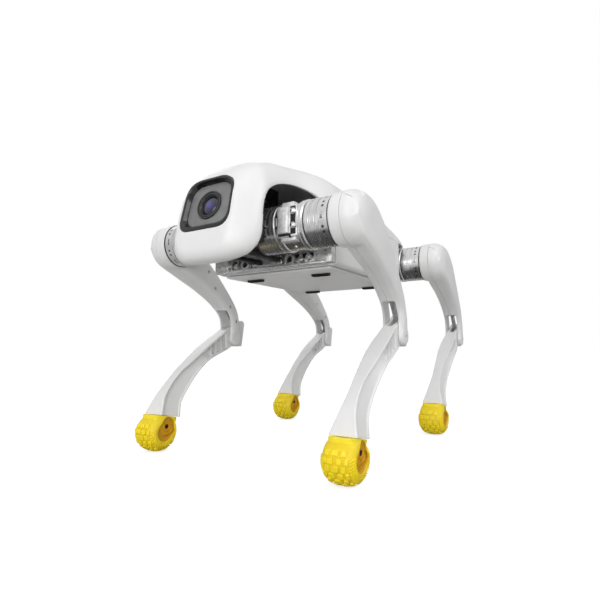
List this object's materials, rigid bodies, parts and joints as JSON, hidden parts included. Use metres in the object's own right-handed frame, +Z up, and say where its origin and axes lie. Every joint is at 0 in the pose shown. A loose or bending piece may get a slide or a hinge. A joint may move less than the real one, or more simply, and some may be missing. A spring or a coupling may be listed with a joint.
{
  "type": "quadruped robot dog",
  "caption": "Walking robot dog: a shell body with a camera head, jointed legs whose hips roll and pitch, knees driven by push rods, and treaded rubber feet.",
  "frame": {"origin": "on the floor under the middle of the standing robot", "axes": "+Z up; the robot faces -Y and its left side is +X"},
  "size_m": [0.2824, 0.4811, 0.319],
  "materials": {
    "shell_white": "satin injection-moulded shell",
    "inner_black": "fine matte moulded texture",
    "bezel_black": "high gloss",
    "panel_grey": "satin",
    "lens_barrel": "ridged, satin",
    "lens_glass": "coated optical glass",
    "motor_aluminium": "turned and bead blasted",
    "bracket_aluminium": "cast, machined faces",
    "frame_aluminium": "folded and machined sheet",
    "steel": "turned",
    "foot_yellow": "moulded rubber with square lugs",
    "board_green": "solder mask",
    "battery_black": "shrink-wrapped pack",
    "button_grey": "satin"
  },
  "bodies": {
    "torso": {"canopy": "shell_white", "canopy_liner": "inner_black", "belly_tray": "shell_white", "belly_plate": "shell_white", "chassis_frame": "frame_aluminium", "battery": "battery_black", "main_board": "board_green", "head_bracket": "inner_black", "camera_bezel": "bezel_black", "camera_panel": "panel_grey", "lens_barrel": "lens_barrel", "lens": "lens_glass", "camera_module": "board_green", "roll_motor_fl": "motor_aluminium", "roll_motor_fr": "motor_aluminium", "roll_motor_rl": "motor_aluminium", "roll_motor_rr": "motor_aluminium"},
    "button": {"power_button": "button_grey"},
    "hip_fl": {"hip_bracket_fl": "bracket_aluminium", "hip_motor_fl": "motor_aluminium", "knee_motor_fl": "motor_aluminium"},
    "thigh_fl": {"thigh_inner_fl": "shell_white", "thigh_outer_fl": "shell_white", "knee_pin_fl": "steel"},
    "crank_fl": {"knee_crank_fl": "steel"},
    "rod_fl": {"push_rod_fl": "steel"},
    "shank_fl": {"shank_fl": "shell_white", "foot_fl": "foot_yellow"},
    "hip_fr": {"hip_bracket_fr": "bracket_aluminium", "hip_motor_fr": "motor_aluminium", "knee_motor_fr": "motor_aluminium"},
    "thigh_fr": {"thigh_inner_fr": "shell_white", "thigh_outer_fr": "shell_white", "knee_pin_fr": "steel"},
    "crank_fr": {"knee_crank_fr": "steel"},
    "rod_fr": {"push_rod_fr": "steel"},
    "shank_fr": {"shank_fr": "shell_white", "foot_fr": "foot_yellow"},
    "hip_rl": {"hip_bracket_rl": "bracket_aluminium", "hip_motor_rl": "motor_aluminium", "knee_motor_rl": "motor_aluminium"},
    "thigh_rl": {"thigh_inner_rl": "shell_white", "thigh_outer_rl": "shell_white", "knee_pin_rl": "steel"},
    "crank_rl": {"knee_crank_rl": "steel"},
    "rod_rl": {"push_rod_rl": "steel"},
    "shank_rl": {"shank_rl": "shell_white", "foot_rl": "foot_yellow"},
    "hip_rr": {"hip_bracket_rr": "bracket_aluminium", "hip_motor_rr": "motor_aluminium", "knee_motor_rr": "motor_aluminium"},
    "thigh_rr": {"thigh_inner_rr": "shell_white", "thigh_outer_rr": "shell_white", "knee_pin_rr": "steel"},
    "crank_rr": {"knee_crank_rr": "steel"},
    "rod_rr": {"push_rod_rr": "steel"},
    "shank_rr": {"shank_rr": "shell_white", "foot_rr": "foot_yellow"}
  },
  "joints": [
    {"name": "roll_fl", "type": "hinge", "parent": "torso", "child": "hip_fl", "pos_m": [0.06, -0.1619, 0.2387], "axis": [0, 1, 0], "range_deg": [-20, 20]},
    {"name": "pitch_fl", "type": "hinge", "parent": "hip_fl", "child": "thigh_fl", "pos_m": [0.1207, -0.1619, 0.2387], "axis": [1, 0, 0], "range_deg": [-35, 60]},
    {"name": "knee_fl", "type": "hinge", "parent": "thigh_fl", "child": "shank_fl", "pos_m": [0.1207, -0.0537, 0.13], "axis": [-1, 0, 0], "range_deg": [-42, 40]},
    {"name": "crank_fl", "type": "hinge", "parent": "thigh_fl", "child": "crank_fl", "pos_m": [0.1207, -0.1619, 0.2387], "axis": [-1, 0, 0], "range_deg": [-42, 40]},
    {"name": "rod_fl", "type": "hinge", "parent": "crank_fl", "child": "rod_fl", "pos_m": [0.1207, -0.15198, 0.24858], "axis": [-1, 0, 0], "range_deg": [-40, 42]},
    {"name": "roll_fr", "type": "hinge", "parent": "torso", "child": "hip_fr", "pos_m": [-0.06, -0.1619, 0.2387], "axis": [0, -1, 0], "range_deg": [-20, 20]},
    {"name": "pitch_fr", "type": "hinge", "parent": "hip_fr", "child": "thigh_fr", "pos_m": [-0.1207, -0.1619, 0.2387], "axis": [1, 0, 0], "range_deg": [-35, 60]},
    {"name": "knee_fr", "type": "hinge", "parent": "thigh_fr", "child": "shank_fr", "pos_m": [-0.1207, -0.0537, 0.13], "axis": [-1, 0, 0], "range_deg": [-42, 40]},
    {"name": "crank_fr", "type": "hinge", "parent": "thigh_fr", "child": "crank_fr", "pos_m": [-0.1207, -0.1619, 0.2387], "axis": [-1, 0, 0], "range_deg": [-42, 40]},
    {"name": "rod_fr", "type": "hinge", "parent": "crank_fr", "child": "rod_fr", "pos_m": [-0.1207, -0.15198, 0.24858], "axis": [-1, 0, 0], "range_deg": [-40, 42]},
    {"name": "roll_rl", "type": "hinge", "parent": "torso", "child": "hip_rl", "pos_m": [0.06, 0.1059, 0.2387], "axis": [0, 1, 0], "range_deg": [-8, 10]},
    {"name": "pitch_rl", "type": "hinge", "parent": "hip_rl", "child": "thigh_rl", "pos_m": [0.1207, 0.1059, 0.2387], "axis": [1, 0, 0], "range_deg": [-35, 60]},
    {"name": "knee_rl", "type": "hinge", "parent": "thigh_rl", "child": "shank_rl", "pos_m": [0.1207, 0.2141, 0.13], "axis": [-1, 0, 0], "range_deg": [-42, 40]},
    {"name": "crank_rl", "type": "hinge", "parent": "thigh_rl", "child": "crank_rl", "pos_m": [0.1207, 0.1059, 0.2387], "axis": [-1, 0, 0], "range_deg": [-42, 40]},
    {"name": "rod_rl", "type": "hinge", "parent": "crank_rl", "child": "rod_rl", "pos_m": [0.1207, 0.11582, 0.24858], "axis": [-1, 0, 0], "range_deg": [-40, 42]},
    {"name": "roll_rr", "type": "hinge", "parent": "torso", "child": "hip_rr", "pos_m": [-0.06, 0.1059, 0.2387], "axis": [0, -1, 0], "range_deg": [-8, 10]},
    {"name": "pitch_rr", "type": "hinge", "parent": "hip_rr", "child": "thigh_rr", "pos_m": [-0.1207, 0.1059, 0.2387], "axis": [1, 0, 0], "range_deg": [-35, 60]},
    {"name": "knee_rr", "type": "hinge", "parent": "thigh_rr", "child": "shank_rr", "pos_m": [-0.1207, 0.2141, 0.13], "axis": [-1, 0, 0], "range_deg": [-42, 40]},
    {"name": "crank_rr", "type": "hinge", "parent": "thigh_rr", "child": "crank_rr", "pos_m": [-0.1207, 0.1059, 0.2387], "axis": [-1, 0, 0], "range_deg": [-42, 40]},
    {"name": "rod_rr", "type": "hinge", "parent": "crank_rr", "child": "rod_rr", "pos_m": [-0.1207, 0.11582, 0.24858], "axis": [-1, 0, 0], "range_deg": [-40, 42]},
    {"name": "power_button_press", "type": "slide", "parent": "torso", "child": "button", "axis": [0, 0, -1], "range_m": [0, 0.0012], "stiffness_N_per_m": 300}
  ],
  "couplings": [
    {"joint": "crank_fl", "follows": "knee_fl", "ratio": 1},
    {"joint": "rod_fl", "follows": "knee_fl", "ratio": -1},
    {"joint": "crank_fr", "follows": "knee_fr", "ratio": 1},
    {"joint": "rod_fr", "follows": "knee_fr", "ratio": -1},
    {"joint": "crank_rl", "follows": "knee_rl", "ratio": 1},
    {"joint": "rod_rl", "follows": "knee_rl", "ratio": -1},
    {"joint": "crank_rr", "follows": "knee_rr", "ratio": 1},
    {"joint": "rod_rr", "follows": "knee_rr", "ratio": -1}
  ]
}
